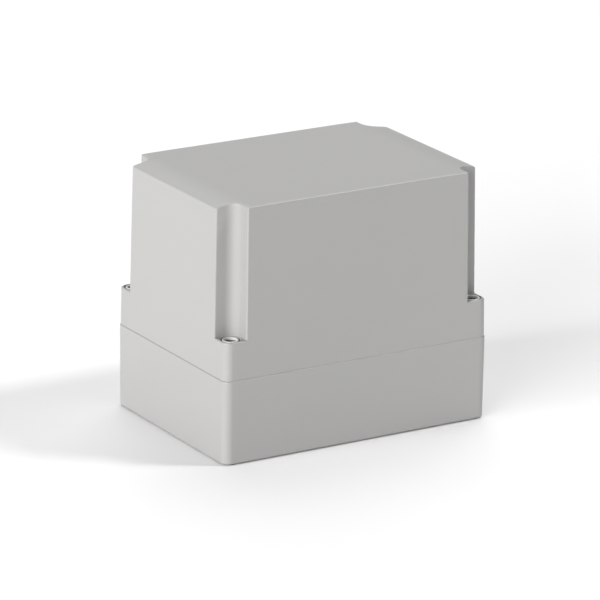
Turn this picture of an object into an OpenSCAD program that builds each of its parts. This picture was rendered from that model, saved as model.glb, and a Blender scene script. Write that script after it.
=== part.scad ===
// Sealed plastic project box with a deep cover.
// Origin: centre of the footprint, on the surface that the box stands on.
// X runs along the long side, Y along the short side, Z up.

/* [Overall size] */
// Length along X, measured at the rim of the base
body_l = 175; // [150:1:220]
// Width along Y, measured at the rim of the base
body_w = 125; // [110:1:170]
// Overall height, from the feet to the flat of the cover
total_h = 150; // [125:1:200]
// Height of the base, from the feet to its rim
base_h = 50; // [48:1:60]
// Radius of the upright outer corners
corner_r = 5; // [3:0.5:6]

/* [Shells] */
// Wall thickness of the base and the cover
wall = 3.8; // [3.6:0.1:4.2]
// Thickness of the floor of the base
floor_t = 3.6; // [2.5:0.1:5]
// Taper of the base walls, per side, over their height
base_draft = 0.2; // [0.1:0.1:1]
// Taper of the cover walls, per side, over their height
cover_draft = 1.5; // [0.5:0.1:2.5]
// How far the rim of the base stands proud of the cover, per side
rim_step = 0.3; // [0.1:0.1:0.5]
// Gap that shows between base and cover when the box is screwed shut
seam_gap = 0.1; // [0.1:0.1:0.5]
// How far the top of the cover curves down at its two short ends
crown_drop = 2; // [0.5:0.1:3]
// Length over which each end of the top curves down
crown_run = 18; // [12:1:24]

/* [Corner channels] */
// Height of the screw ledges above the feet
ledge_z = 72.5; // [68:0.5:90]
// Size of each corner channel at the ledge, from the outer faces
channel = 13.9; // [13.6:0.1:14.8]
// How much wider each channel is at the top of the cover
channel_draft = 0.8; // [0.2:0.1:1.2]
// Radius of the inner corner of each channel
channel_r = 6.9; // [5:0.1:7.5]
// Distance of each screw axis from the two nearest outer faces
axis_in = 7.2; // [7:0.1:7.6]

/* [Screws] */
// Diameter of the screw thread
thread_d = 4; // [3.6:0.1:4.2]
// Diameter of the reduced neck of the screw
neck_d = 3; // [2.6:0.1:3.1]
// Diameter of the screw head
head_d = 7; // [6:0.1:7]
// Height of the screw head
head_h = 2.6; // [2:0.1:3]
// Length of the screw below its head
screw_l = 29; // [29:0.5:31]
// Length of the threaded end of the screw
thread_l = 13; // [11:0.5:13.5]
// Outer diameter of the cup washer
cup_d = 9.4; // [9:0.1:9.8]
// Thickness of the floor of the cup washer
cup_t = 0.9; // [0.6:0.1:1.2]
// How far the screw head lies below the ledge
head_sink = 1.3; // [0.1:0.1:1.8]
// Diameter of the round pocket in the ledge
pocket_d = 11.4; // [11:0.1:11.8]

/* [Threaded inserts] */
// Outer diameter of the insert
insert_d = 5.6; // [5.2:0.1:6]
// Length of the insert
insert_l = 10; // [8:0.5:10]
// Clear diameter through the insert
insert_bore = 4.1; // [4.1:0.05:4.3]

/* [Seal] */
// Distance of the seal groove from the outer faces
groove_in = 1.3; // [1.2:0.1:1.4]
// Width of the seal groove
groove_w = 1.5; // [1.4:0.1:1.6]
// Depth of the seal groove
groove_h = 3.3; // [3:0.1:4]
// Width of the tongue on the rim of the base
tongue_w = 0.9; // [0.8:0.1:1]
// Height of the tongue on the rim of the base
tongue_h = 1.6; // [1.2:0.1:2]

/* [Fixing points] */
// Distance along X between the wall fixing holes
fix_x = 116; // [90:1:120]
// Distance along Y between the wall fixing holes
fix_y = 96; // [60:1:98]
// Diameter of the wall fixing holes
fix_d = 5; // [4:0.1:6]
// Distance along X between the board bosses
board_x = 148; // [120:1:150]
// Distance along Y between the board bosses
board_y = 72; // [40:1:74]
// Outer diameter of the board bosses
boss_d = 7.5; // [6:0.1:8]
// Height of the board bosses above the floor
boss_h = 8; // [5:0.5:12]
// Diameter of the pilot holes in the board bosses
pilot_d = 3.2; // [2.5:0.1:3.6]
// Height of the four feet
foot_h = 0.8; // [0.5:0.1:1.5]
// Diameter of the four feet
foot_d = 10; // [8:0.5:10]
// Distance of the foot centres from the faces of the box
foot_in = 6.8; // [6.5:0.1:9]

/* [Hidden] */
$fn = 48;

light_grey = [0.74, 0.74, 0.73];
hx = body_l / 2;
hy = body_w / 2;
cover_z = base_h + seam_gap;           // lower rim of the cover
pocket_z = ledge_z - head_sink - head_h - cup_t; // floor of the ledge pocket
ledge_under = pocket_z - 3.4;          // underside of the ledge
post = channel - 0.2;                  // nominal size of a corner post
tube_r = 4.6;                          // screw tube inside a corner post
seat_z = pocket_z + cup_t;             // underside of the screw head
insert_z = base_h - 0.1 - insert_l;    // lower end of an insert
// Corners of the box, as signs of X and Y
SX = [-1, 1, 1, -1];
SY = [-1, -1, 1, 1];

// Points of an arc, from angle a0 to a1 in n steps
function arc(cx, cy, r, a0, a1, n) =
    [for (i = [0:n]) let (a = a0 + (a1 - a0) * i / n) [cx + r * cos(a), cy + r * sin(a)]];

// Rounded rectangle with half sizes x and y, anticlockwise
function rounded(x, y, r, n = 6) = concat(
    arc(x - r, y - r, r, 0, 90, n), arc(-x + r, y - r, r, 90, 180, n),
    arc(-x + r, -y + r, r, 180, 270, n), arc(x - r, -y + r, r, 270, 360, n));

// Rectangle whose four corners step inwards round the corner posts,
// inset i from half sizes x and y; each post is p + i wide, measured from x and y
function stepped(x, y, i, p, rp, rc = 1.2, n = 6) =
    let (a = x - i, b = y - i, u = x - p - i, v = y - p - i)
    concat(
        arc(a - rc, v - rc, rc, 0, 90, 3), arc(u + rp, v + rp, rp, 270, 180, n),
        arc(u - rc, b - rc, rc, 0, 90, 3),
        arc(-u + rc, b - rc, rc, 90, 180, 3), arc(-u - rp, v + rp, rp, 0, -90, n),
        arc(-a + rc, v - rc, rc, 90, 180, 3),
        arc(-a + rc, -v + rc, rc, 180, 270, 3), arc(-u - rp, -v - rp, rp, 90, 0, n),
        arc(-u + rc, -b + rc, rc, 180, 270, 3),
        arc(u - rc, -b + rc, rc, 270, 360, 3), arc(u + rp, -v - rp, rp, 180, 90, n),
        arc(a - rc, -v + rc, rc, 270, 360, 3));

// Corner radius of the stepped outline round a post, at inset i
function post_r(i) = channel_r + i - 0.2;

// Solid through a stack of outlines with equal numbers of points;
// each ring is [height, points]
module loft(rings) {
    m = len(rings);
    n = len(rings[0][1]);
    pts = [for (r = rings) for (p = r[1]) [p[0], p[1], r[0]]];
    sides = [for (k = [0:m - 2]) for (j = [0:n - 1])
        [k * n + j, (k + 1) * n + j, (k + 1) * n + (j + 1) % n, k * n + (j + 1) % n]];
    polyhedron(points = pts, convexity = 8, faces = concat(
        [[for (j = [0:n - 1]) j]],
        sides,
        [[for (j = [n - 1:-1:0]) (m - 1) * n + j]]));
}

// Everything between two heights, so that a loft ends in a clean plane
module slab(z0, z1) {
    translate([-body_l, -body_w, z0]) cube([2 * body_l, 2 * body_w, z1 - z0]);
}

// Cuts a loft off clean at the heights z0 and z1
module tapered(z0, z1) {
    intersection() {
        children();
        slab(z0, z1);
    }
}

// Solid below the curved top of the cover, lowered by d
module under_crown(d, y) {
    x0 = hx - rim_step - cover_draft;
    xs = [for (i = [0:8]) x0 + 6 - (crown_run + 6) * i / 8];
    function fall(x) = let (t = max(0, x - (x0 - crown_run)) / crown_run) crown_drop * t * t;
    rotate([90, 0, 0])
    linear_extrude(2 * y, center = true)
        polygon(concat(
            [[-x0 - 6, cover_z - d / 6], [x0 + 6, cover_z - d / 6]],
            [for (x = xs) [x, total_h - d - fall(x)]],
            [for (i = [8:-1:0]) [-xs[i], total_h - d - fall(xs[i])]]));
}

// Band between two insets of the seal line
module seal_band(i0, i1, z0, z1) {
    translate([0, 0, z0])
    linear_extrude(z1 - z0)
    difference() {
        polygon(stepped(hx, hy, i0, post, post_r(i0)));
        polygon(stepped(hx, hy, i1, post, post_r(i1)));
    }
}

// Pocket that leaves a screw tube standing in a corner post
module post_coring(z0, z1) {
    for (k = [0:3])
    inwards(k) translate([0, 0, z0])
    difference() {
        linear_extrude(z1 - z0) polygon(concat([[wall, wall], [post, wall]],
            arc(post - post_r(0), post - post_r(0), post_r(0), 0, 90, 8), [[wall, post]]));
        translate([axis_in, axis_in, -1]) cylinder(r = tube_r, h = z1 - z0 + 2);
    }
}

// Frame at corner k of the box, with X and Y running inwards
module inwards(k) {
    translate([SX[k] * hx, SY[k] * hy, 0])
    mirror([SX[k] > 0 ? 1 : 0, 0, 0])
    mirror([0, SY[k] > 0 ? 1 : 0, 0])
        children();
}

// Places its children on the four screw axes
module at_screws() {
    for (k = [0:3]) at_screw(k) children();
}
module at_screw(k) {
    translate([SX[k] * (hx - axis_in), SY[k] * (hy - axis_in), 0]) children();
}
module at_rect(dx, dy) {
    for (sx = [-1, 1]) for (sy = [-1, 1])
        translate([sx * dx / 2, sy * dy / 2, 0]) children();
}

module base() {
    f = foot_h;
    color(light_grey)
    difference() {
        union() {
            difference() {
                tapered(f, base_h) loft([
                    [f - 1, rounded(hx - base_draft - 2, hy - base_draft - 2, corner_r - 2)],
                    [f + 1, rounded(hx - base_draft, hy - base_draft, corner_r)],
                    [base_h + 1, rounded(hx + 0.01, hy + 0.01, corner_r)]]);
                tapered(f + floor_t, base_h + 0.9) loft([
                    [f + floor_t - 1, stepped(hx, hy, wall + base_draft, post, post_r(wall))],
                    [base_h + 1, stepped(hx, hy, wall, post, post_r(wall))]]);
                post_coring(f + floor_t + 2, base_h + 1);
            }
            // Tongue that presses into the seal
            seal_band(groove_in + (groove_w - tongue_w) / 2, groove_in + (groove_w + tongue_w) / 2,
                base_h - 1, base_h + tongue_h);
            // Raised collars round the wall fixing holes
            at_rect(fix_x, fix_y) translate([0, 0, f + 1]) cylinder(d = fix_d + 5, h = floor_t + 0.5);
            // Bosses for a circuit board or a mounting plate
            at_rect(board_x, board_y) translate([0, 0, f + 1]) cylinder(d = boss_d, h = floor_t - 1 + boss_h);
        }
        at_rect(fix_x, fix_y) translate([0, 0, -1]) cylinder(d = fix_d, h = floor_t + 10);
        at_rect(board_x, board_y) translate([0, 0, f + floor_t]) cylinder(d = pilot_d, h = boss_h + 1);
        at_screws() {
            translate([0, 0, insert_z]) cylinder(d = insert_d, h = insert_l + 5);
            translate([0, 0, insert_z - 3]) cylinder(d = thread_d + 0.4, h = 5);
        }
    }
}

module cover() {
    x0 = hx - rim_step;
    y0 = hy - rim_step;
    d = cover_draft;
    color(light_grey)
    difference() {
        intersection() {
            loft([
                [cover_z - 1, rounded(x0 + 0.02, y0 + 0.02, corner_r)],
                [total_h + 1, rounded(x0 - d, y0 - d, corner_r)]]);
            under_crown(0, hy + 5);
        }
        // Hollow inside
        intersection() {
            loft([
                [cover_z - 1, stepped(x0, y0, wall - rim_step, post, post_r(wall))],
                [total_h, stepped(x0 - d, y0 - d, wall - rim_step, post - 1, post_r(wall))]]);
            under_crown(wall, hy);
        }
        // Corner channels down to the screw ledges
        for (k = [0:3])
            inwards(k)
            tapered(ledge_z, total_h + 1) loft([
                [ledge_z - 1, channel_pts(channel)],
                [total_h + 2, channel_pts(channel + channel_draft)]]);
        post_coring(cover_z - 1, ledge_under);
        at_screws() {
            translate([0, 0, pocket_z]) cylinder(d = pocket_d, h = 20);
            translate([0, 0, ledge_under - 1]) cylinder(d = neck_d + 0.5, h = 20);
            translate([0, 0, cover_z - 1]) cylinder(d = thread_d + 0.6, h = ledge_under - cover_z + 1);
        }
        seal_band(groove_in, groove_in + groove_w, cover_z - 1, cover_z + groove_h);
    }
}

// Outline of a channel in a frame whose axes run inwards from the outer faces
function channel_pts(c) = concat(
    [[-10, -10], [c, -10]], arc(c - channel_r, c - channel_r, channel_r, 0, 90, 10), [[-10, c]]);

module gasket() {
    color([0.22, 0.22, 0.22])
    seal_band(groove_in, groove_in + groove_w, base_h + tongue_h, cover_z + groove_h);
}

module cover_screw() {
    color([0.28, 0.28, 0.29])
    difference() {
        union() {
            translate([0, 0, seat_z - screw_l]) cylinder(d1 = thread_d - 1, d2 = thread_d, h = 0.6);
            translate([0, 0, seat_z - screw_l + 0.6]) cylinder(d = thread_d, h = thread_l - 0.6);
            translate([0, 0, seat_z - screw_l + thread_l - 1]) cylinder(d = neck_d, h = screw_l - thread_l + 1.5);
            translate([0, 0, seat_z]) cylinder(d = head_d, h = head_h - 0.3);
            translate([0, 0, seat_z + head_h - 0.3]) cylinder(d1 = head_d, d2 = head_d - 0.6, h = 0.3);
        }
        // Cross recess
        for (a = [0, 90]) rotate([0, 0, a])
            translate([-2, -0.5, seat_z + head_h - 1.5]) cube([4, 1, 3]);
    }
}
module cover_screw_1() { at_screw(0) cover_screw(); }
module cover_screw_2() { at_screw(1) cover_screw(); }
module cover_screw_3() { at_screw(2) cover_screw(); }
module cover_screw_4() { at_screw(3) cover_screw(); }

module cup_washer() {
    color([0.86, 0.86, 0.84])
    translate([0, 0, pocket_z])
    difference() {
        cylinder(d = cup_d, h = ledge_z - pocket_z);
        translate([0, 0, cup_t]) cylinder(d = head_d + 0.4, h = 10);
        translate([0, 0, -1]) cylinder(d = neck_d + 0.3, h = 10);
    }
}
module cup_washer_1() { at_screw(0) cup_washer(); }
module cup_washer_2() { at_screw(1) cup_washer(); }
module cup_washer_3() { at_screw(2) cup_washer(); }
module cup_washer_4() { at_screw(3) cup_washer(); }

module threaded_insert() {
    color([0.78, 0.62, 0.28])
    translate([0, 0, insert_z])
    difference() {
        union() {
            cylinder(d = insert_d, h = 4);
            translate([0, 0, 3]) cylinder(d = insert_d - 0.6, h = insert_l - 6);
            translate([0, 0, insert_l - 4]) cylinder(d = insert_d, h = 4);
        }
        translate([0, 0, -1]) cylinder(d = insert_bore, h = insert_l + 2);
    }
}
module threaded_insert_1() { at_screw(0) threaded_insert(); }
module threaded_insert_2() { at_screw(1) threaded_insert(); }
module threaded_insert_3() { at_screw(2) threaded_insert(); }
module threaded_insert_4() { at_screw(3) threaded_insert(); }

// Rubber foot stuck under the base
module foot(k) {
    color([0.3, 0.3, 0.3])
    translate([SX[k] * (hx - foot_in), SY[k] * (hy - foot_in), 0])
        cylinder(d = foot_d, h = foot_h);
}
module foot_1() { foot(0); }
module foot_2() { foot(1); }
module foot_3() { foot(2); }
module foot_4() { foot(3); }

base();
cover();
gasket();
cover_screw_1();
cover_screw_2();
cover_screw_3();
cover_screw_4();
cup_washer_1();
cup_washer_2();
cup_washer_3();
cup_washer_4();
threaded_insert_1();
threaded_insert_2();
threaded_insert_3();
threaded_insert_4();
foot_1();
foot_2();
foot_3();
foot_4();
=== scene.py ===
import math
import bmesh
import bpy
import numpy as np
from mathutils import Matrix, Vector


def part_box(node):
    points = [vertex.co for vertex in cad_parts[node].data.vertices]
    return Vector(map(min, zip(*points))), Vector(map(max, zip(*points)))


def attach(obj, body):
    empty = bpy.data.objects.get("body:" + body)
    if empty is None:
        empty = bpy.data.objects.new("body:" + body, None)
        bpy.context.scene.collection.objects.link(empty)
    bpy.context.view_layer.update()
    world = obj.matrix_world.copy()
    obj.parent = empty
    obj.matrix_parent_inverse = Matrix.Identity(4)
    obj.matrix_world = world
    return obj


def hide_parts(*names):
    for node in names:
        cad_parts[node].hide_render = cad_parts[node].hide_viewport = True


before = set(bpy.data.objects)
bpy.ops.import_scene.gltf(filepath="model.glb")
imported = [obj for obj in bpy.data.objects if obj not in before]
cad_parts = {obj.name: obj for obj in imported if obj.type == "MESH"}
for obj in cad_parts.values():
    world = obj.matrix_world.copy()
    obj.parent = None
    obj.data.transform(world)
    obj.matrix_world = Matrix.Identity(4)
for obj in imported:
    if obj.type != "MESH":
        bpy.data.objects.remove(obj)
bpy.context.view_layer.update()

MM = 0.001
scene = bpy.context.scene


# ---------------------------------------------------------------- sizes, in millimetres, from the frame
def box_mm(node):
    lo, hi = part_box(node)
    return [c / MM for c in lo], [c / MM for c in hi]


base_lo, base_hi = box_mm("base")
cover_lo, cover_hi = box_mm("cover")
seal_lo, seal_hi = box_mm("gasket")
cup_lo, cup_hi = box_mm("cup_washer_1")
screw_lo, screw_hi = box_mm("cover_screw_1")
ins_lo, ins_hi = box_mm("threaded_insert_1")
foot_lo, foot_hi = box_mm("foot_1")

HX, HY = base_hi[0], base_hi[1]          # half size at the rim of the base
TONGUE_TOP = base_hi[2]
BASE_H = TONGUE_TOP - 1.6
COVER_Z = cover_lo[2]
TOTAL_H = cover_hi[2]
LEDGE_Z = cup_hi[2]
STEP = HX - cover_hi[0]                  # rim of the base proud of the cover
COVER_DRAFT = 1.5
BASE_DRAFT = 0.2
WALL = 3.8
FLOOR_T = 3.6
FOOT_H = foot_hi[2]
CHANNEL = 13.9
CHANNEL_DRAFT = 0.8
CHANNEL_R = 6.9
POST = CHANNEL - 0.2
AXIS_IN = HX - abs((cup_lo[0] + cup_hi[0]) / 2)
POCKET_Z = cup_lo[2]
LEDGE_UNDER = POCKET_Z - 3.4
CROWN_DROP = 2.0
CROWN_RUN = 18.0
CROWN_END = HX - STEP - COVER_DRAFT
SX = (-1, 1, 1, -1)
SY = (-1, -1, 1, 1)


# ---------------------------------------------------------------- outlines
def arc(cx, cy, r, a0, a1, n):
    return [(cx + r * math.cos(math.radians(a0 + (a1 - a0) * i / n)),
             cy + r * math.sin(math.radians(a0 + (a1 - a0) * i / n))) for i in range(n + 1)]


def between(a, b, n):
    """n points strictly between a and b."""
    return [(a[0] + (b[0] - a[0]) * i / (n + 1), a[1] + (b[1] - a[1]) * i / (n + 1)) for i in range(1, n + 1)]


def round_turn(frames):
    """Joins four corner paths, each given in a frame that runs inwards from its corner, into one anticlockwise outline."""
    out = []
    for k in range(4):
        path = frames[k]
        pts = [(SX[k] * (HX - u), SY[k] * (HY - v)) for u, v in path]
        if k in (1, 3):
            pts = pts[::-1]
        out.append(pts)
    # corner 0 runs from the left face to the front face, corner 1 from the front face to the right face, and so on
    return out


def outline(path, n_long=10, n_short=8):
    """Closed outline from one corner path, with the straight sides divided."""
    c = round_turn([path] * 4)
    pts = []
    for k in range(4):
        pts += c[k]
        a, b = c[k][-1], c[(k + 1) % 4][0]
        pts += between(a, b, n_long if k in (0, 2) else n_short)
    return pts


N_FIL, N_WALL, N_ARC = 4, 3, 16


def notch_path(e, c, d, rf):
    """Corner with a channel: outer faces at inset e, channel c wide, everything moved d into the wall, upright edges rounded by rf."""
    r = max(rf - d, 0.02)
    q = c - CHANNEL_R
    a = arc(e + d + r, c + d + r, r, 180, 270, N_FIL)
    b = arc(q, q, CHANNEL_R + d, 90, 0, N_ARC)
    f = arc(c + d + r, e + d + r, r, 180, 270, N_FIL)
    return a + between(a[-1], b[0], N_WALL) + b + between(b[-1], f[0], N_WALL) + f


def plain_path(e, c, d, rf, r=5.0, ends=None):
    """The same corner without its channel, with as many points. ends fades the inset d out towards the two ends of the path."""
    m = N_FIL + N_WALL + 1
    rr = r - d
    c0 = e + d + rr
    start, end = (e + d, c + rf), (c + rf, e + d)
    first = [start] + between(start, (e + d, c0), m - 1)
    mid = arc(c0, c0, rr, 180, 270, N_ARC)
    last = between((c0, e + d), end, m - 1) + [end]
    pts = first + mid + last
    if ends is not None:
        out = []
        flat = plain_path(e, c, 0.0, rf, r)
        for p, q in zip(pts, flat):
            far = max(q[0], q[1])
            w = min(max((c + rf - 0.05 - far) / ends, 0.0), 1.0)
            w = w * w * (3 - 2 * w)
            out.append((q[0] + (p[0] - q[0]) * w, q[1] + (p[1] - q[1]) * w))
        pts = out
    return pts


def rounded_path(e, r, n=10):
    return arc(e + r, e + r, r, 180, 270, n)


def stepped_path(i, p=POST, e=0.0, rc=1.2, n=12):
    """Corner that steps inwards round a corner post, inset i from the outer faces."""
    rp = CHANNEL_R + i - 0.2
    far = p + i + e
    near = i + e
    a = arc(near + rc, far + rc, rc, 180, 270, 5)
    b = arc(far - rp, far - rp, rp, 90, 0, n)
    f = arc(far + rc, near + rc, rc, 180, 270, 5)
    return a + between(a[-1], b[0], 1) + b + between(b[-1], f[0], 1) + f


def fall(x):
    t = max(0.0, abs(x) - (CROWN_END - CROWN_RUN)) / CROWN_RUN
    return CROWN_DROP * t * t


# ---------------------------------------------------------------- mesh tools
def new_object(name, verts, faces):
    me = bpy.data.meshes.new(name)
    me.from_pydata([(x * MM, y * MM, z * MM) for x, y, z in verts], [], faces)
    me.validate()
    ob = bpy.data.objects.new(name, me)
    scene.collection.objects.link(ob)
    return ob


def tidy(ob, dist=2e-6):
    bm = bmesh.new()
    bm.from_mesh(ob.data)
    bmesh.ops.remove_doubles(bm, verts=bm.verts, dist=dist)
    bmesh.ops.dissolve_degenerate(bm, edges=bm.edges, dist=dist)
    bmesh.ops.recalc_face_normals(bm, faces=bm.faces)
    bm.to_mesh(ob.data)
    bm.free()
    return ob


def loft(name, rings, crown_top=False, cap=True):
    """Closed mesh through rings of equal length, each a list of (x, y, z)."""
    n = len(rings[0])
    verts = [p for r in rings for p in r]
    faces = []
    for k in range(len(rings) - 1):
        for j in range(n):
            a, b = k * n + j, k * n + (j + 1) % n
            faces.append((a, b, b + n, a + n))
    if cap:
        faces.append(tuple(reversed(range(n))))
        faces.append(tuple((len(rings) - 1) * n + j for j in range(n)))
    ob = new_object(name, verts, faces)
    if cap and crown_top:
        z_of = rings[-1][0][2] + fall(rings[-1][0][0])
        bm = bmesh.new()
        bm.from_mesh(ob.data)
        bm.faces.ensure_lookup_table()
        top = max((f for f in bm.faces if len(f.verts) > 8), key=lambda f: f.calc_center_median().z)
        geom = [top] + list(top.edges) + list(top.verts)
        tops = {top}
        for s in (-1, 1):
            for i in range(0, 13):
                x = s * (CROWN_END - CROWN_RUN + (CROWN_RUN - 0.2) * i / 12)
                live = [f for f in tops if f.is_valid]
                geom = live + list({e for f in live for e in f.edges}) + list({v for f in live for v in f.verts})
                res = bmesh.ops.bisect_plane(bm, geom=geom, dist=1e-6, plane_co=(x * MM, 0, 0), plane_no=(1, 0, 0))
                tops = set(live) | {g for g in res["geom"] if isinstance(g, bmesh.types.BMFace)}
        for f in tops:
            if f.is_valid:
                for v in f.verts:
                    v.co.z = (z_of - fall(v.co.x / MM)) * MM
        bm.to_mesh(ob.data)
        bm.free()
    return tidy(ob)


def at_z(path_pts, z):
    return [(x, y, z) for x, y in path_pts]


def torus_loft(name, rings):
    """Rings joined in a closed cycle, such as a groove or a seal that runs all round."""
    n, m = len(rings[0]), len(rings)
    verts = [p for r in rings for p in r]
    faces = []
    for k in range(m):
        for j in range(n):
            a, b = k * n + j, k * n + (j + 1) % n
            c, d = ((k + 1) % m) * n + (j + 1) % n, ((k + 1) % m) * n + j
            faces.append((a, b, c, d))
    return tidy(new_object(name, verts, faces))


def revolve(name, profile, centres, n=64):
    """Closed solids of revolution about upright axes. profile is (r, z) from the axis at the bottom to the axis at the top."""
    verts, faces = [], []
    for cx, cy in centres:
        o = len(verts)
        idx = []
        for r, z in profile:
            if r < 1e-6:
                idx.append([len(verts)])
                verts.append((cx, cy, z))
            else:
                idx.append(list(range(len(verts), len(verts) + n)))
                verts += [(cx + r * math.cos(2 * math.pi * j / n), cy + r * math.sin(2 * math.pi * j / n), z) for j in range(n)]
        for a, b in zip(idx, idx[1:]):
            for j in range(n):
                p, q = a[j % len(a)], a[(j + 1) % len(a)]
                s, t = b[j % len(b)], b[(j + 1) % len(b)]
                f = [p]
                for v in (q, t, s):
                    if v not in f:
                        f.append(v)
                if len(f) > 2:
                    faces.append(tuple(f))
    return tidy(new_object(name, verts, faces))


def join_meshes(name, obs):
    verts, faces = [], []
    for o in obs:
        k = len(verts)
        verts += [tuple(c / MM for c in v.co) for v in o.data.vertices]
        faces += [tuple(i + k for i in p.vertices) for p in o.data.polygons]
        bpy.data.objects.remove(o)
    return new_object(name, verts, faces)


def boolean(ob, cutter, op="DIFFERENCE"):
    m = ob.modifiers.new("b", "BOOLEAN")
    m.operation, m.solver, m.object = op, "EXACT", cutter
    dg = bpy.context.evaluated_depsgraph_get()
    me = bpy.data.meshes.new_from_object(ob.evaluated_get(dg))
    ob.modifiers.clear()
    old = ob.data
    ob.data = me
    bpy.data.meshes.remove(old)
    bpy.data.objects.remove(cutter)
    return ob


def shade(ob, angle=32.0):
    """Smooth shading over fillets and arcs, sharp at real edges, with the large faces keeping their own direction."""
    me = ob.data
    me.materials.clear()
    for p in me.polygons:
        p.use_smooth = True
    me.set_sharp_from_angle(angle=math.radians(angle))
    m = ob.modifiers.new("n", "WEIGHTED_NORMAL")
    m.mode, m.weight, m.keep_sharp = "FACE_AREA", 50, True
    dg = bpy.context.evaluated_depsgraph_get()
    out = bpy.data.meshes.new_from_object(ob.evaluated_get(dg))
    ob.modifiers.clear()
    ob.data = out
    bpy.data.meshes.remove(me)
    return ob


def report(ob):
    bm = bmesh.new()
    bm.from_mesh(ob.data)
    open_edges = sum(1 for e in bm.edges if len(e.link_faces) != 2)
    print("MESH", ob.name, "verts", len(bm.verts), "faces", len(bm.faces), "open", open_edges,
          "volume mm3", round(bm.calc_volume() * 1e9, 1))
    bm.free()


AXES = [(SX[k] * (HX - AXIS_IN), SY[k] * (HY - AXIS_IN)) for k in range(4)]


def quarter(n):
    return [math.radians(90.0 * i / n) for i in range(n + 1)]


# ---------------------------------------------------------------- cover
def cover_inset(z):
    return STEP + COVER_DRAFT * (z - COVER_Z) / (TOTAL_H - COVER_Z)


def channel_at(z):
    return CHANNEL + CHANNEL_DRAFT * (z - LEDGE_Z) / (TOTAL_H - LEDGE_Z)


def make_cover():
    rf, re, rt, rb = 0.8, 0.9, 1.1, 0.18
    rings = []
    # rounded lower rim, pressed down close to the base, then the plain walls up to the ledges
    low = BASE_H + 0.03
    for t in quarter(3):
        z = low + rb * (1 - math.cos(t))
        rings.append(at_z(outline(plain_path(cover_inset(z), CHANNEL, rb * (1 - math.sin(t)), rf)), z))
    zs = list(np.linspace(COVER_Z + 2, LEDGE_Z - re, 4))
    for z in zs[:-1]:
        rings.append(at_z(outline(plain_path(cover_inset(z), CHANNEL, 0.0, rf)), z))
    for t in quarter(5):
        z = LEDGE_Z - re + re * math.sin(t)
        rings.append(at_z(outline(plain_path(cover_inset(z), CHANNEL, re * (1 - math.cos(t)), rf, ends=1.6)), z))
    # channels and upper walls
    z = LEDGE_Z
    for z in np.linspace(LEDGE_Z, TOTAL_H - rt, 7):
        rings.append(at_z(outline(notch_path(cover_inset(z), channel_at(z), 0.0, rf)), z))
    for t in quarter(6)[1:]:
        z = TOTAL_H - rt + rt * math.sin(t)
        pts = outline(notch_path(cover_inset(z), channel_at(z), rt * (1 - math.cos(t)), rf))
        rings.append([(x, y, z) for x, y in pts])
    # the top follows the crown
    for r in range(len(rings) - 8, len(rings)):
        base = TOTAL_H - 14.0
        rings[r] = [(x, y, z - fall(x) * min(max((z - base) / 13.0, 0.0), 1.0)) for x, y, z in rings[r]]
    ob = loft("cover_shell", rings, crown_top=True)
    report(ob)
    # hollow inside
    cav = []
    ri = 2.5
    top = TOTAL_H - WALL

    def cavity_path(z, d):
        e = cover_inset(z)
        p = POST - 1.0 * (z - COVER_Z) / (TOTAL_H - COVER_Z)
        return outline(stepped_path(WALL - STEP + d, p=p, e=e), 10, 8)
    for z in [COVER_Z - 1] + list(np.linspace(COVER_Z + 4, top - ri, 4)):
        cav.append(at_z(cavity_path(z, 0.0), z))
    for t in quarter(5)[1:]:
        z = top - ri + ri * math.sin(t)
        cav.append(at_z(cavity_path(z, min(ri * (1 - math.cos(t)), 9)), z))
    for r in range(len(cav) - 6, len(cav)):
        cav[r] = [(x, y, z - fall(x)) for x, y, z in cav[r]]
    hollow = loft("hollow", cav, crown_top=True)
    report(hollow)
    boolean(ob, hollow)
    report(ob)
    # screw pockets, lands and tubes
    c = 0.3
    prof = [(0, COVER_Z - 1), (2.3, COVER_Z - 1), (2.3, LEDGE_UNDER), (1.75, LEDGE_UNDER), (1.75, POCKET_Z),
            (4.85, POCKET_Z), (4.85, LEDGE_Z - 1.0),
            (5.55, LEDGE_Z - 1.0), (5.7, LEDGE_Z - 0.85), (5.7, LEDGE_Z - c), (5.7 + c, LEDGE_Z), (5.7 + c, LEDGE_Z + 0.6), (0, LEDGE_Z + 0.6)]
    boolean(ob, revolve("pockets", prof, AXES))
    report(ob)
    boolean(ob, coring("cores", COVER_Z - 1, LEDGE_UNDER))
    boolean(ob, seal_ring("groove", 1.3, 2.8, COVER_Z - 1, seal_hi[2]))
    report(ob)
    return tidy(ob)


def coring(name, z0, z1):
    """Pockets that leave a screw tube standing in each corner post."""
    obs = []
    q = POST - (CHANNEL_R - 0.2)
    outer = [(WALL, WALL), (POST, WALL)] + arc(q, q, CHANNEL_R - 0.2, 0, 90, 16) + [(WALL, POST)]
    for k in range(4):
        pts = [(SX[k] * (HX - u), SY[k] * (HY - v)) for u, v in outer]
        if k in (1, 3):
            pts = pts[::-1]
        obs.append(loft("p", [at_z(pts, z0), at_z(pts, z1)]))
    cut = join_meshes(name, obs)
    tube = revolve("tube", [(0, z0 - 1), (4.6, z0 - 1), (4.6, z1 + 1), (0, z1 + 1)], AXES)
    return boolean(cut, tube)


def seal_ring(name, i0, i1, z0, z1, top_r=0.0):
    outer = outline(stepped_path(i0), 10, 8)
    inner = outline(stepped_path(i1), 10, 8)
    rings = [at_z(outer, z0)]
    if top_r > 0:
        for t in quarter(4):
            rings.append(at_z(outline(stepped_path(i0 + top_r * (1 - math.cos(t))), 10, 8), z1 - top_r + top_r * math.sin(t)))
        for t in reversed(quarter(4)):
            rings.append(at_z(outline(stepped_path(i1 - top_r * (1 - math.cos(t))), 10, 8), z1 - top_r + top_r * math.sin(t)))
    else:
        rings += [at_z(outer, z1), at_z(inner, z1)]
    rings.append(at_z(inner, z0))
    return torus_loft(name, rings)


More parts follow.
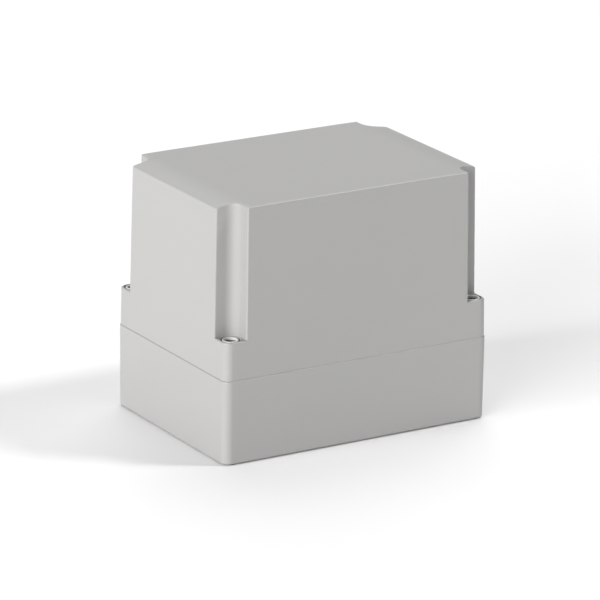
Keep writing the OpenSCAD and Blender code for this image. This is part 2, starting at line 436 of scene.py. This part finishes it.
# ---------------------------------------------------------------- base
def base_inset(z):
    return BASE_DRAFT * (BASE_H - z) / (BASE_H - FOOT_H)


def make_base():
    rb, rt = 0.9, 0.8
    rings = []
    for t in quarter(7):
        z = FOOT_H + rb * (1 - math.cos(t))
        rings.append(at_z(outline(rounded_path(base_inset(z) + rb * (1 - math.sin(t)), 5.0 - rb * (1 - math.sin(t)))), z))
    for z in np.linspace(FOOT_H + 8, BASE_H - rt, 4):
        rings.append(at_z(outline(rounded_path(base_inset(z), 5.0)), z))
    for t in quarter(5)[1:]:
        z = BASE_H - rt + rt * math.sin(t)
        d = rt * (1 - math.cos(t))
        rings.append(at_z(outline(rounded_path(base_inset(z) + d, 5.0 - d)), z))
    ob = loft("base_shell", rings)
    report(ob)
    # hollow inside, with a fillet round the floor
    cav = []
    rf = 2.0
    z0 = FOOT_H + FLOOR_T
    for t in quarter(5):
        z = z0 + rf * (1 - math.cos(t))
        cav.append(at_z(outline(stepped_path(WALL + rf * (1 - math.sin(t)), e=base_inset(z)), 10, 8), z))
    for z in (BASE_H * 0.5, BASE_H + 1):
        cav.append(at_z(outline(stepped_path(WALL, e=max(base_inset(z), 0)), 10, 8), z))
    boolean(ob, loft("hollow", cav))
    report(ob)
    boolean(ob, coring("cores", FOOT_H + FLOOR_T + 2, BASE_H + 1))
    # raised parts
    boolean(ob, seal_ring("tongue", 1.6, 2.5, BASE_H - 1.0, TONGUE_TOP, top_r=0.3), "UNION")
    z1 = FOOT_H + 1 + FLOOR_T + 0.5
    fix = [(sx * 58.0, sy * 48.0) for sx in (-1, 1) for sy in (-1, 1)]
    collar = [(0, FOOT_H + 1), (5.3, FOOT_H + 1), (5.3, z0), (5.0, z0 + 0.3), (5.0, z1 - 0.3), (4.7, z1), (0, z1)]
    boolean(ob, revolve("collars", collar, fix, 48), "UNION")
    z2 = FOOT_H + FLOOR_T + 8.0
    brd = [(sx * 74.0, sy * 36.0) for sx in (-1, 1) for sy in (-1, 1)]
    boss = [(0, FOOT_H + 1), (4.35, FOOT_H + 1), (4.35, z0), (3.9, z0 + 0.6), (3.75, z0 + 1.2), (3.75, z2 - 0.25), (3.5, z2), (0, z2)]
    boolean(ob, revolve("bosses", boss, brd, 48), "UNION")
    report(ob)
    # holes
    hole = [(0, -1), (2.5 + 0.4, -1), (2.5 + 0.4, FOOT_H), (2.5, FOOT_H + 0.4), (2.5, z1 - 0.3), (2.8, z1), (2.8, z1 + 1), (0, z1 + 1)]
    boolean(ob, revolve("fixing", hole, fix, 48))
    pilot = [(0, FOOT_H + FLOOR_T), (1.6, FOOT_H + FLOOR_T), (1.6, z2 - 0.3), (1.9, z2), (1.9, z2 + 1), (0, z2 + 1)]
    boolean(ob, revolve("pilots", pilot, brd, 32))
    bore = [(0, ins_lo[2] - 3), (2.2, ins_lo[2] - 3), (2.2, ins_lo[2]), (2.8, ins_lo[2]), (2.8, BASE_H - 0.2), (3.0, BASE_H), (3.0, BASE_H + 1), (0, BASE_H + 1)]
    boolean(ob, revolve("bores", bore, AXES, 48))
    report(ob)
    return tidy(ob)


def make_foot(k):
    """Rubber foot: a low disc with a rounded rim and a shallow dish in its sole."""
    lo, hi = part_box("foot_%d" % (k + 1))
    cx, cy = (lo[0] + hi[0]) / 2 / MM, (lo[1] + hi[1]) / 2 / MM
    r = (hi[0] - lo[0]) / 2 / MM - 0.02
    e = 0.25
    prof = [(0, 0.12), (r - 1.6, 0.12), (r - 1.2, 0.0), (r - e, 0.0)]
    prof += [(r - e + e * math.sin(t), e * (1 - math.cos(t))) for t in quarter(5)[1:]]
    prof += [(r, FOOT_H), (0, FOOT_H)]
    return revolve("foot_pad_%d" % (k + 1), prof, [(cx, cy)], 64)


# ---------------------------------------------------------------- seal, screws, washers, inserts
def make_gasket():
    z0, z1 = seal_lo[2], seal_hi[2]
    i0, i1 = 1.3, 2.8
    mid = (i0 + i1) / 2
    rings = []
    prof = []
    w = (i1 - i0) / 2
    for k in range(13):
        t = math.pi * k / 12
        prof.append((mid - w * math.cos(t), z0 + 0.55 - 0.55 * math.sin(t)))
    prof = [(i0, z1)] + prof + [(i1, z1)]
    for i, z in prof:
        rings.append(at_z(outline(stepped_path(i), 10, 8), z))
    return torus_loft("gasket_seal", rings)


def make_cup(k):
    cx, cy = AXES[k]
    z0, z1 = cup_lo[2], cup_hi[2]
    zt = z0 + 0.9
    # ring profile, closed on itself
    prof = [(1.65, z0 + 0.1), (1.75, z0), (4.5, z0), (4.7, z0 + 0.2)]
    prof += [(4.7 - 0.35 * (1 - math.cos(t)), z1 - 0.35 + 0.35 * math.sin(t)) for t in quarter(5)]
    prof += [(3.7 + 0.35 * (1 - math.cos(t)), z1 - 0.35 + 0.35 * math.sin(t)) for t in reversed(quarter(5))]
    prof += [(3.7, zt + 0.15), (3.55, zt), (1.75, zt), (1.65, zt - 0.1)]
    n = 72
    rings = [[(cx + r * math.cos(2 * math.pi * j / n), cy + r * math.sin(2 * math.pi * j / n), z) for j in range(n)] for r, z in prof]
    return torus_loft("cup_%d" % (k + 1), rings)


def make_screw(k):
    """Stainless screw: chamfered head with a cross recess, thin neck and a real helical thread."""
    cx, cy = AXES[k]
    z_tip, z_top = screw_lo[2], screw_hi[2]
    seat = z_top - 2.6
    z_thread = z_tip + 13.0
    r_major, r_minor, pitch, n = 2.0, 1.62, 0.7, 40
    rings = []
    # thread: each ring is one step up; the radius at an angle follows the helix
    def thread_r(z, ang):
        ph = ((z - z_tip) / pitch - ang / (2 * math.pi)) % 1.0
        tri = abs(2 * ph - 1)
        prof = min(max((tri - 0.12) / 0.70, 0.0), 1.0)
        grow = min(max((z - z_tip) / 1.0, 0.0), 1.0) * min(max((z_thread - z) / 0.8, 0.0), 1.0)
        core = r_minor if z < z_thread - 0.4 else r_minor + (1.5 - r_minor) * min((z - z_thread + 0.4) / 0.4, 1.0)
        return core + (r_major - r_minor) * prof * grow
    steps = int(round(13.0 / (pitch / 8)))
    tip = []
    rings.append([(cx + 0.9 * math.cos(2 * math.pi * j / n), cy + 0.9 * math.sin(2 * math.pi * j / n), z_tip) for j in range(n)])
    for s in range(1, steps + 1):
        z = z_tip + 13.0 * s / steps
        ring = []
        for j in range(n):
            a = 2 * math.pi * j / n
            r = thread_r(z, a)
            if z - z_tip < 0.7:
                r = min(r, 1.1 + (z - z_tip) * 0.75)
            ring.append((cx + r * math.cos(a), cy + r * math.sin(a), z))
        rings.append(ring)
    def circle(r, z):
        return [(cx + r * math.cos(2 * math.pi * j / n), cy + r * math.sin(2 * math.pi * j / n), z) for j in range(n)]
    rings += [circle(1.5, z_thread + 0.3), circle(1.5, seat - 0.2), circle(1.7, seat), circle(3.3, seat)]
    for t in quarter(3):
        rings.append(circle(3.3 + 0.2 * math.sin(t), seat + 0.2 * (1 - math.cos(t))))
    for t in quarter(5):
        rings.append(circle(3.5 - 0.45 * (1 - math.cos(t)), z_top - 0.45 + 0.45 * math.sin(t)))
    ob = loft("screw_%d" % (k + 1), rings)
    # cross recess, narrower at its foot
    cuts = []
    spin = math.radians((25, 70, 10, 50)[k])
    for q in range(2):
        a = spin + q * math.pi / 2
        verts = []
        for z, h, w in ((z_top - 1.7, 0.9, 0.38), (z_top - 1.3, 1.35, 0.46), (z_top + 0.4, 1.85, 0.56)):
            for sx, sy in ((-1, -1), (1, -1), (1, 1), (-1, 1)):
                x, y = sx * h, sy * w
                verts.append((cx + x * math.cos(a) - y * math.sin(a), cy + x * math.sin(a) + y * math.cos(a), z))
        cuts.append(loft("c", [verts[0:4], verts[4:8], verts[8:12]]))
    for c in cuts:
        boolean(ob, c)
    return tidy(ob)


def make_insert(k):
    """Brass insert: two knurled bands with a plain waist and a chamfered threaded bore."""
    cx, cy = AXES[k]
    z0, z1 = ins_lo[2], ins_hi[2]
    n = 96

    def ring(r, z, knurl=0.0):
        out = []
        for j in range(n):
            a = 2 * math.pi * j / n
            rr = r - (knurl if j % 4 in (0, 1) else 0.0)
            out.append((cx + rr * math.cos(a), cy + rr * math.sin(a), z))
        return out
    rings = [ring(2.35, z0), ring(2.5, z0), ring(2.78, z0 + 0.3, 0.12), ring(2.78, z0 + 3.8, 0.12), ring(2.5, z0 + 4.0), ring(2.5, z1 - 4.0),
             ring(2.78, z1 - 3.8, 0.12), ring(2.78, z1 - 0.5, 0.12), ring(2.7, z1 - 0.3), ring(2.6, z1), ring(2.4, z1), ring(2.06, z1 - 0.4)]
    m = int((z1 - z0 - 1.0) / 0.35)
    for s in range(m + 1):
        z = z1 - 0.5 - (z1 - z0 - 1.0) * s / m
        rings.append(ring(2.06 if s % 2 == 0 else 2.16, z))
    rings.append(ring(2.06, z0 + 0.4))
    return torus_loft("insert_%d" % (k + 1), rings)


# ---------------------------------------------------------------- materials
def link(nt, a, b):
    nt.links.new(a, b)


def plastic(name, colour, rough, grain=1.0, spec=0.5, variation=0.02):
    m = bpy.data.materials.new(name)
    m.use_nodes = True
    nt = m.node_tree
    bsdf = nt.nodes["Principled BSDF"]
    tc = nt.nodes.new("ShaderNodeTexCoord")
    big = nt.nodes.new("ShaderNodeTexNoise")
    big.inputs["Scale"].default_value = 14.0
    big.inputs["Detail"].default_value = 3.0
    fine = nt.nodes.new("ShaderNodeTexNoise")
    fine.inputs["Scale"].default_value = 1600.0
    fine.inputs["Detail"].default_value = 2.0
    link(nt, tc.outputs["Object"], big.inputs["Vector"])
    link(nt, tc.outputs["Object"], fine.inputs["Vector"])
    mix = nt.nodes.new("ShaderNodeMix")
    mix.data_type = "RGBA"
    lo = tuple(c * (1 - variation) for c in colour) + (1.0,)
    hi = tuple(min(c * (1 + variation), 1.0) for c in colour) + (1.0,)
    mix.inputs["A"].default_value = lo
    mix.inputs["B"].default_value = hi
    add = nt.nodes.new("ShaderNodeMath")
    add.operation = "MULTIPLY_ADD"
    add.inputs[1].default_value = 0.35
    link(nt, fine.outputs["Fac"], add.inputs[0])
    half = nt.nodes.new("ShaderNodeMath")
    half.operation = "MULTIPLY"
    half.inputs[1].default_value = 0.65
    link(nt, big.outputs["Fac"], half.inputs[0])
    link(nt, half.outputs[0], add.inputs[2])
    link(nt, add.outputs[0], mix.inputs["Factor"])
    link(nt, mix.outputs["Result"], bsdf.inputs["Base Color"])
    rr = nt.nodes.new("ShaderNodeMapRange")
    rr.inputs["To Min"].default_value = rough - 0.04
    rr.inputs["To Max"].default_value = rough + 0.04
    link(nt, big.outputs["Fac"], rr.inputs["Value"])
    link(nt, rr.outputs["Result"], bsdf.inputs["Roughness"])
    bump = nt.nodes.new("ShaderNodeBump")
    bump.inputs["Strength"].default_value = 0.35 * grain
    bump.inputs["Distance"].default_value = 0.00003
    link(nt, fine.outputs["Fac"], bump.inputs["Height"])
    link(nt, bump.outputs["Normal"], bsdf.inputs["Normal"])
    bsdf.inputs["Specular IOR Level"].default_value = spec
    bsdf.inputs["IOR"].default_value = 1.53
    return m


def metal(name, colour, rough, scale=900.0):
    m = bpy.data.materials.new(name)
    m.use_nodes = True
    nt = m.node_tree
    bsdf = nt.nodes["Principled BSDF"]
    bsdf.inputs["Metallic"].default_value = 1.0
    tc = nt.nodes.new("ShaderNodeTexCoord")
    noise = nt.nodes.new("ShaderNodeTexNoise")
    noise.inputs["Scale"].default_value = scale
    noise.inputs["Detail"].default_value = 3.0
    link(nt, tc.outputs["Object"], noise.inputs["Vector"])
    mix = nt.nodes.new("ShaderNodeMix")
    mix.data_type = "RGBA"
    mix.inputs["A"].default_value = tuple(c * 0.88 for c in colour) + (1.0,)
    mix.inputs["B"].default_value = tuple(colour) + (1.0,)
    link(nt, noise.outputs["Fac"], mix.inputs["Factor"])
    link(nt, mix.outputs["Result"], bsdf.inputs["Base Color"])
    rr = nt.nodes.new("ShaderNodeMapRange")
    rr.inputs["To Min"].default_value = rough - 0.08
    rr.inputs["To Max"].default_value = rough + 0.08
    link(nt, noise.outputs["Fac"], rr.inputs["Value"])
    link(nt, rr.outputs["Result"], bsdf.inputs["Roughness"])
    bump = nt.nodes.new("ShaderNodeBump")
    bump.inputs["Strength"].default_value = 0.2
    bump.inputs["Distance"].default_value = 0.00002
    link(nt, noise.outputs["Fac"], bump.inputs["Height"])
    link(nt, bump.outputs["Normal"], bsdf.inputs["Normal"])
    return m


GREY = plastic("moulded_grey", (0.3470, 0.3442, 0.3380), 0.32)
NYLON = plastic("natural_nylon", (0.66, 0.66, 0.64), 0.38, grain=0.5)
FOAM = plastic("foam_seal", (0.035, 0.035, 0.036), 0.9, grain=3.0, spec=0.3, variation=0.2)
RUBBER = plastic("foot_rubber", (0.10, 0.10, 0.10), 0.75, grain=2.0, spec=0.35, variation=0.12)
# Screw steel is coloured near black. This dark colour is painted shade that stands in for the shadow down in the screw
# pockets.
STEEL = metal("steel_with_painted_pocket_shade", (0.10, 0.10, 0.103), 0.42)
BRASS = metal("turned_brass", (0.80, 0.60, 0.27), 0.28)


def place(ob, material, node, body):
    shade(ob)
    ob.data.materials.append(material)
    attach(ob, body)
    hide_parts(node)
    report(ob)
    return ob


place(make_base(), GREY, "base", "box_base")
place(make_cover(), GREY, "cover", "box_cover")
place(make_gasket(), FOAM, "gasket", "box_cover")
for k in range(4):
    place(make_screw(k), STEEL, "cover_screw_%d" % (k + 1), "screw_%d" % (k + 1))
    place(make_cup(k), NYLON, "cup_washer_%d" % (k + 1), "washer_%d" % (k + 1))
    place(make_insert(k), BRASS, "threaded_insert_%d" % (k + 1), "box_base")
    place(make_foot(k), RUBBER, "foot_%d" % (k + 1), "box_base")


# ---------------------------------------------------------------- floor, lights and camera
def make_floor():
    s = 12000.0
    ob = new_object("floor", [(-s, -s, 0), (s, -s, 0), (s, s, 0), (-s, s, 0)], [(0, 1, 2, 3)])
    m = bpy.data.materials.new("floor_white")
    m.use_nodes = True
    nt = m.node_tree
    bsdf = nt.nodes["Principled BSDF"]
    bsdf.inputs["Base Color"].default_value = (0.93, 0.93, 0.93, 1)
    bsdf.inputs["Roughness"].default_value = 0.9
    bsdf.inputs["Specular IOR Level"].default_value = 0.0
    ob.data.materials.append(m)


make_floor()

world = bpy.data.worlds.new("studio")
scene.world = world
world.use_nodes = True
world.node_tree.nodes["Background"].inputs["Color"].default_value = (1, 1, 1, 1)
world.node_tree.nodes["Background"].inputs["Strength"].default_value = 0.20

BACK = Vector((-0.497763, -0.811242, 0.306788)).normalized()
FACING = math.atan2(BACK.y, BACK.x)


def soft_light(name, turn, height, power, width=45):
    """Wide soft light far away. turn is in degrees from behind the camera towards its right, height in degrees above the floor."""
    d = bpy.data.lights.new(name, "SUN")
    d.energy = power
    d.angle = math.radians(width)
    o = bpy.data.objects.new(name, d)
    a, e = FACING + math.radians(turn), math.radians(height)
    way = Vector((math.cos(a) * math.cos(e), math.sin(a) * math.cos(e), math.sin(e)))
    o.rotation_euler = way.to_track_quat("Z", "Y").to_euler()
    o.location = way * 2
    scene.collection.objects.link(o)
    return o


soft_light("key", 330, 5, 4.30)
soft_light("key_left", 300, 18, 1.30, 15)
soft_light("fill_right", 90, 52, 1.04, 10)
soft_light("back_low", 180, 18, 0.24)
soft_light("back", 180, 50, 0.50)
soft_light("back_high", 180, 70, 0.64)

from mathutils import Matrix
cam_data = bpy.data.cameras.new("camera")
cam = bpy.data.objects.new("camera", cam_data)
scene.collection.objects.link(cam)
right = Vector((0.856387, -0.516157, 0.013502)).normalized()
back = Vector((-0.494884, -0.813072, 0.306601)).normalized()
up = back.cross(right)
cam.matrix_world = Matrix.Translation((-1.3638382, -2.2381741, 0.9118463)) @ Matrix((right, up, back)).transposed().to_4x4()
cam_data.sensor_width = 36.0
cam_data.lens = 4776.40 * 36.0 / 600.0
cam_data.clip_end = 100.0
scene.camera = cam
scene.view_settings.view_transform = "Standard"
scene.view_settings.look = "None"
